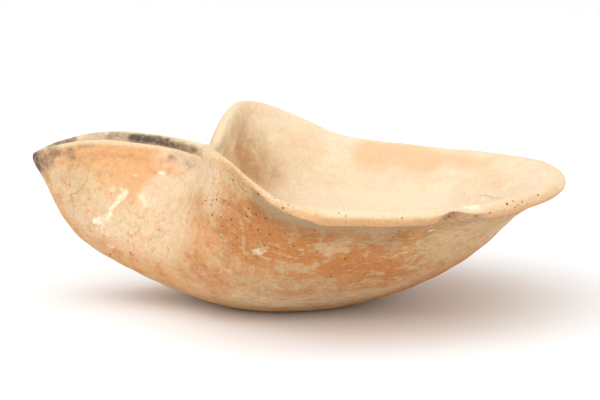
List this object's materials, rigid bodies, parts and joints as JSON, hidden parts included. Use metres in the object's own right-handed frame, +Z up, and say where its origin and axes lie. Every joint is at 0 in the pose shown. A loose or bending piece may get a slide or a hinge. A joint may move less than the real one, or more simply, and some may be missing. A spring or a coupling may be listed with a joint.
{
  "type": "pottery oil lamp",
  "caption": "Saucer oil lamp of fired clay: a shallow open bowl with a flared rim, folded in to a narrow wick spout between two raised flaps.",
  "frame": {"origin": "middle of the flat foot, on the surface that the lamp stands on", "axes": "-X along the spout to its tip, +Z up, Y across the two flaps"},
  "size_m": [0.1506, 0.1328, 0.0511],
  "materials": {
    "fired_clay": "matt fired earthenware, orange and buff, wiped on the wheel, pitted and weathered, with chalky patches and black soot at the wick spout"
  },
  "bodies": {
    "root": {"lamp_bowl": "fired_clay"}
  },
  "joints": []
}
